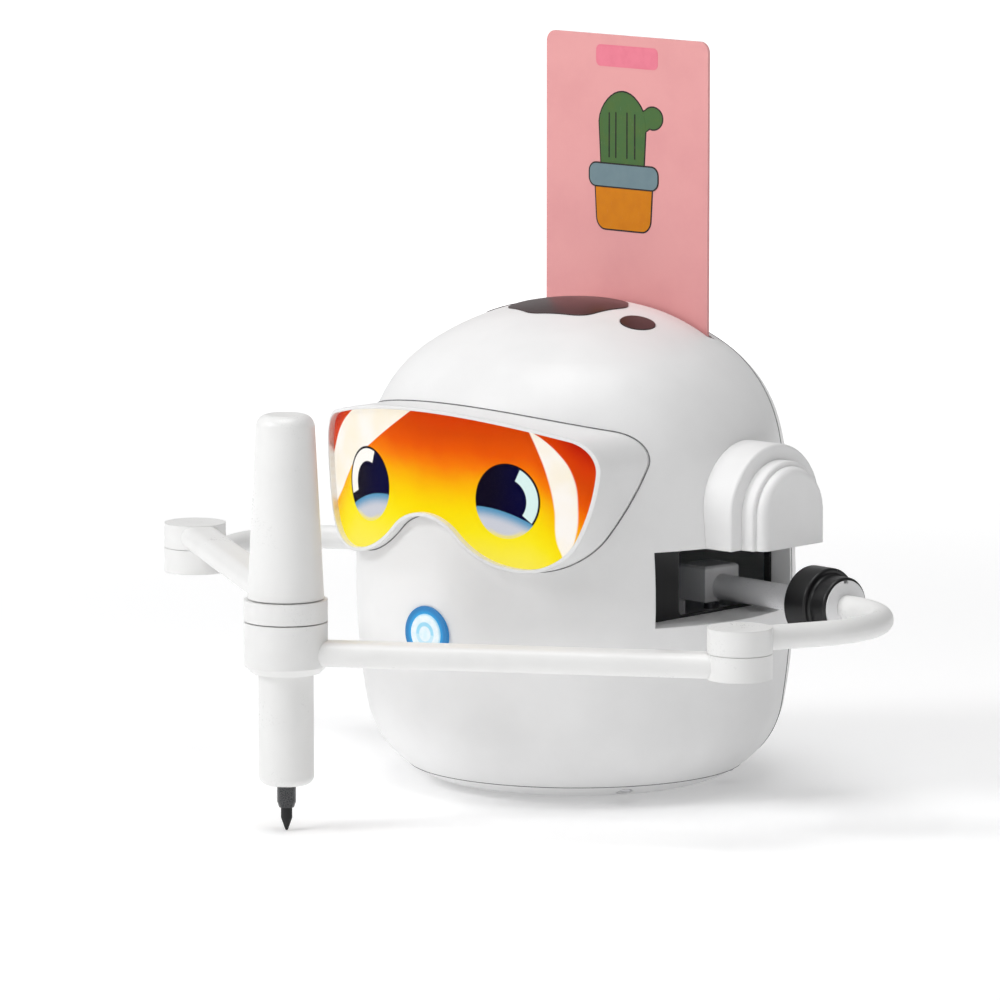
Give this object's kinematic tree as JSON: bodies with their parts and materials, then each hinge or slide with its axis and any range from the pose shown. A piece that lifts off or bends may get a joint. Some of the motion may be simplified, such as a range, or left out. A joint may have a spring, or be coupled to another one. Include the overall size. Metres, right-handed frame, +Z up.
{
  "type": "desktop drawing robot",
  "caption": "Round table-top drawing robot with a goggled face, a card slot on its head and a two-arm parallelogram linkage that carries a marker pen.",
  "frame": {"origin": "on the table under the axis of the round body, at the centre of the rubber pad it rests on", "axes": "+Z up, -Y the way the face looks, +X the robot's own left"},
  "size_m": [0.2296, 0.1809, 0.2002],
  "materials": {
    "white_shell": "fine matte moulded",
    "white_arm": "satin moulded",
    "grey_plastic": "satin moulded",
    "grey_rod": "satin",
    "black_trim": "satin",
    "gloss_black": "polished",
    "visor": "tinted clear",
    "face_print": "printed",
    "light_ring": "lit diffuser",
    "button_white": "satin",
    "rubber_pad": "matt",
    "steel_screws": "brushed",
    "circuit_board": "solder mask",
    "battery_wrap": "shrink wrap",
    "motor_can": "drawn can",
    "brass_gear": "cut",
    "card_stock": "coated card",
    "marker_barrel": "satin",
    "marker_ink": "felt"
  },
  "bodies": {
    "housing": {"front_shell": "white_shell", "rear_shell": "white_shell", "base_plate": "white_shell", "grip_pad": "rubber_pad", "base_screws": "steel_screws", "left_slot_bezel": "black_trim", "right_slot_bezel": "black_trim", "left_ear_pod": "white_shell", "right_ear_pod": "white_shell", "goggle_frame": "white_shell", "visor_lens": "visor", "face_plate": "face_print", "power_light_ring": "light_ring", "power_board": "circuit_board", "crest_panel": "gloss_black", "button_board": "circuit_board", "card_guide": "black_trim", "card_reader": "circuit_board", "main_board": "circuit_board", "usb_port": "steel_screws", "battery_pack": "battery_wrap", "speaker": "black_trim", "guide_posts": "steel_screws", "lift_motor": "motor_can"},
    "carriage": {"lift_carriage": "grey_plastic", "arm_shaft": "steel_screws", "shaft_clip": "black_trim", "lift_rack": "grey_plastic", "left_drive_motor": "motor_can", "right_drive_motor": "motor_can"},
    "lift_gear": {"lift_pinion": "grey_plastic"},
    "left_forearm_assembly": {"left_forearm": "white_arm", "pen_sleeve": "white_arm", "marker_body": "marker_barrel", "marker_nib": "marker_ink"},
    "right_forearm_assembly": {"right_forearm": "white_arm"},
    "cap": {"pen_cap": "white_arm"},
    "card": {"drawing_card": "card_stock"},
    "chest_button": {"power_button": "button_white"},
    "left_head_button": {"left_top_button": "gloss_black"},
    "right_head_button": {"right_top_button": "gloss_black"},
    "left_arm": {"left_arm_lever": "grey_plastic", "left_arm_rod": "grey_rod", "left_arm_plug": "grey_plastic", "left_drive_tube": "white_arm", "left_sector_gear": "grey_plastic"},
    "left_nut": {"left_coupling_nut": "black_trim"},
    "left_motor_gear": {"left_drive_pinion": "brass_gear"},
    "left_elbow": {"left_elbow_pin": "steel_screws"},
    "right_arm": {"right_arm_lever": "grey_plastic", "right_arm_rod": "grey_rod", "right_arm_plug": "grey_plastic", "right_drive_tube": "white_arm", "right_sector_gear": "grey_plastic"},
    "right_nut": {"right_coupling_nut": "black_trim"},
    "right_motor_gear": {"right_drive_pinion": "brass_gear"},
    "right_elbow": {"right_elbow_pin": "steel_screws"}
  },
  "joints": [
    {"name": "pen_lift", "type": "slide", "parent": "housing", "child": "carriage", "axis": [0, 0, 1], "range_m": [0, 0.005]},
    {"name": "lift_pinion_spin", "type": "hinge", "parent": "housing", "child": "lift_gear", "pos_m": [0, 0.04, 0.036], "axis": [1, 0, 0], "range_deg": [-62, 2]},
    {"name": "left_arm_swing", "type": "hinge", "parent": "carriage", "child": "left_arm", "pos_m": [0, 0.0203, 0.0521], "axis": [0, 0, 1], "range_deg": [-24, 8]},
    {"name": "right_arm_swing", "type": "hinge", "parent": "carriage", "child": "right_arm", "pos_m": [0, 0.0203, 0.056], "axis": [0, 0, 1], "range_deg": [-5, 24]},
    {"name": "left_pinion_spin", "type": "hinge", "parent": "carriage", "child": "left_motor_gear", "pos_m": [0.01784, -0.01325, 0.048], "axis": [0, 0, 1], "range_deg": [-45, 130]},
    {"name": "right_pinion_spin", "type": "hinge", "parent": "carriage", "child": "right_motor_gear", "pos_m": [-0.01784, -0.01325, 0.048], "axis": [0, 0, 1], "range_deg": [-130, 28]},
    {"name": "left_nut_turn", "type": "hinge", "parent": "left_arm", "child": "left_nut", "pos_m": [0.07812, 0.01264, 0.0541], "axis": [0.9952, -0.0976, 0], "range_deg": [0, 60]},
    {"name": "right_nut_turn", "type": "hinge", "parent": "right_arm", "child": "right_nut", "pos_m": [-0.07841, 0.01647, 0.0541], "axis": [-0.9988, -0.0489, 0], "range_deg": [0, 60]},
    {"name": "left_elbow_pin_turn", "type": "hinge", "parent": "left_arm", "child": "left_elbow", "pos_m": [0.09901, -0.0475, 0.0541], "axis": [0, 0, 1], "range_deg": [-8.5, 24.5]},
    {"name": "left_elbow_bend", "type": "hinge", "parent": "left_elbow", "child": "left_forearm_assembly", "pos_m": [0.09901, -0.0475, 0.0473], "axis": [0, 0, 1], "range_deg": [-5.5, 24.5]},
    {"name": "right_elbow_pin_turn", "type": "hinge", "parent": "right_arm", "child": "right_elbow", "pos_m": [-0.10221, -0.04258, 0.0541], "axis": [0, 0, 1], "range_deg": [-24.5, 5.5]},
    {"name": "right_elbow_bend", "type": "hinge", "parent": "right_elbow", "child": "right_forearm_assembly", "pos_m": [-0.10221, -0.04258, 0.0609], "axis": [0, 0, 1], "range_deg": [-24.5, 8.5]},
    {"name": "pen_cap_lift", "type": "slide", "parent": "left_forearm_assembly", "child": "cap", "axis": [0, 0, 1], "range_m": [0, 0.055]},
    {"name": "card_lift", "type": "slide", "parent": "housing", "child": "card", "axis": [0, 0, 1], "range_m": [0, 0.012]},
    {"name": "power_button_press", "type": "slide", "parent": "housing", "child": "chest_button", "axis": [0, 1, 0], "range_m": [0, 0.0012], "stiffness_N_per_m": 600},
    {"name": "left_top_button_press", "type": "slide", "parent": "housing", "child": "left_head_button", "axis": [-0.3385, 0.0336, -0.9404], "range_m": [0, 0.0008], "stiffness_N_per_m": 600},
    {"name": "right_top_button_press", "type": "slide", "parent": "housing", "child": "right_head_button", "axis": [0.3385, 0.0336, -0.9404], "range_m": [0, 0.0008], "stiffness_N_per_m": 600}
  ],
  "couplings": [
    {"joint": "lift_pinion_spin", "follows": "pen_lift", "rad_per_m": -208.33},
    {"joint": "left_pinion_spin", "follows": "left_arm_swing", "ratio": -5.3333},
    {"joint": "right_pinion_spin", "follows": "right_arm_swing", "ratio": -5.3333},
    {"joint": "left_elbow_pin_turn", "follows": "left_arm_swing", "ratio": -1},
    {"joint": "left_elbow_bend", "follows": "right_arm_swing", "ratio": 1},
    {"joint": "right_elbow_pin_turn", "follows": "right_arm_swing", "ratio": -1},
    {"joint": "right_elbow_bend", "follows": "left_arm_swing", "ratio": 1}
  ]
}
